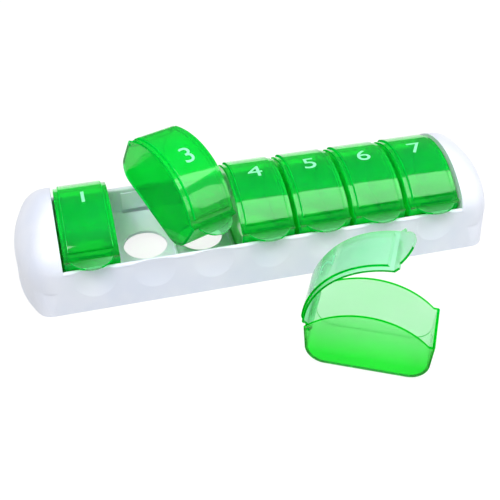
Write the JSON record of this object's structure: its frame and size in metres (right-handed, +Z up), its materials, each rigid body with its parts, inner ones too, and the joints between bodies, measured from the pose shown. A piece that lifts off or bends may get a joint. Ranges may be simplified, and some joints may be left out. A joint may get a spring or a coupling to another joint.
{
  "type": "weekly pill box",
  "caption": "Row of lift-out pill cups with arched hinged lids, standing in an open white tray with rounded ends, one cup per day of the week.",
  "frame": {"origin": "middle of the tray's underside, on the plane it stands on", "axes": "+X along the row of boxes, to the right seen from the front, +Y to the back, +Z up"},
  "size_m": [0.23, 0.1421, 0.065],
  "materials": {
    "tray": "satin",
    "day_box": "gloss",
    "lid": "gloss"
  },
  "bodies": {
    "tray": {"tray": "tray"},
    "day_box_1": {"day_box_1": "day_box"},
    "day_box_2": {"day_box_2": "day_box"},
    "day_box_3": {"day_box_3": "day_box"},
    "day_box_4": {"day_box_4": "day_box"},
    "day_box_5": {"day_box_5": "day_box"},
    "day_box_6": {"day_box_6": "day_box"},
    "day_box_7": {"day_box_7": "day_box"},
    "lid_1": {"lid_1": "lid"},
    "lid_2": {"lid_2": "lid"},
    "lid_3": {"lid_3": "lid"},
    "lid_4": {"lid_4": "lid"},
    "lid_5": {"lid_5": "lid"},
    "lid_6": {"lid_6": "lid"},
    "lid_7": {"lid_7": "lid"}
  },
  "joints": [
    {"name": "box_1_lift", "type": "slide", "parent": "tray", "child": "day_box_1", "axis": [0, 0, 1], "range_m": [0, 0.04]},
    {"name": "lid_1_hinge", "type": "hinge", "parent": "day_box_1", "child": "lid_1", "pos_m": [-0.081, 0.0252, 0.0247], "axis": [-1, 0, 0], "range_deg": [0, 105]},
    {"name": "box_2_lift", "type": "slide", "parent": "tray", "child": "day_box_2", "axis": [0, 0, 1], "range_m": [0, 0.04]},
    {"name": "lid_2_hinge", "type": "hinge", "parent": "day_box_2", "child": "lid_2", "pos_m": [0.00673, -0.0748, 0.0191], "axis": [-0.4602, -0.8878, 0], "range_deg": [-49, 56]},
    {"name": "box_3_lift", "type": "slide", "parent": "tray", "child": "day_box_3", "axis": [0, 0, 1], "range_m": [0, 0.04]},
    {"name": "lid_3_hinge", "type": "hinge", "parent": "day_box_3", "child": "lid_3", "pos_m": [-0.04445, 0.0217, 0.05224], "axis": [-0.8844, -0.4538, 0.1092], "range_deg": [0, 105]},
    {"name": "box_4_lift", "type": "slide", "parent": "tray", "child": "day_box_4", "axis": [0, 0, 1], "range_m": [0, 0.04]},
    {"name": "lid_4_hinge", "type": "hinge", "parent": "day_box_4", "child": "lid_4", "pos_m": [0, 0.0252, 0.0247], "axis": [-1, 0, 0], "range_deg": [0, 105]},
    {"name": "box_5_lift", "type": "slide", "parent": "tray", "child": "day_box_5", "axis": [0, 0, 1], "range_m": [0, 0.04]},
    {"name": "lid_5_hinge", "type": "hinge", "parent": "day_box_5", "child": "lid_5", "pos_m": [0.027, 0.0252, 0.0247], "axis": [-1, 0, 0], "range_deg": [0, 105]},
    {"name": "box_6_lift", "type": "slide", "parent": "tray", "child": "day_box_6", "axis": [0, 0, 1], "range_m": [0, 0.04]},
    {"name": "lid_6_hinge", "type": "hinge", "parent": "day_box_6", "child": "lid_6", "pos_m": [0.054, 0.0252, 0.0247], "axis": [-1, 0, 0], "range_deg": [0, 105]},
    {"name": "box_7_lift", "type": "slide", "parent": "tray", "child": "day_box_7", "axis": [0, 0, 1], "range_m": [0, 0.04]},
    {"name": "lid_7_hinge", "type": "hinge", "parent": "day_box_7", "child": "lid_7", "pos_m": [0.081, 0.0252, 0.0247], "axis": [-1, 0, 0], "range_deg": [0, 105]}
  ]
}
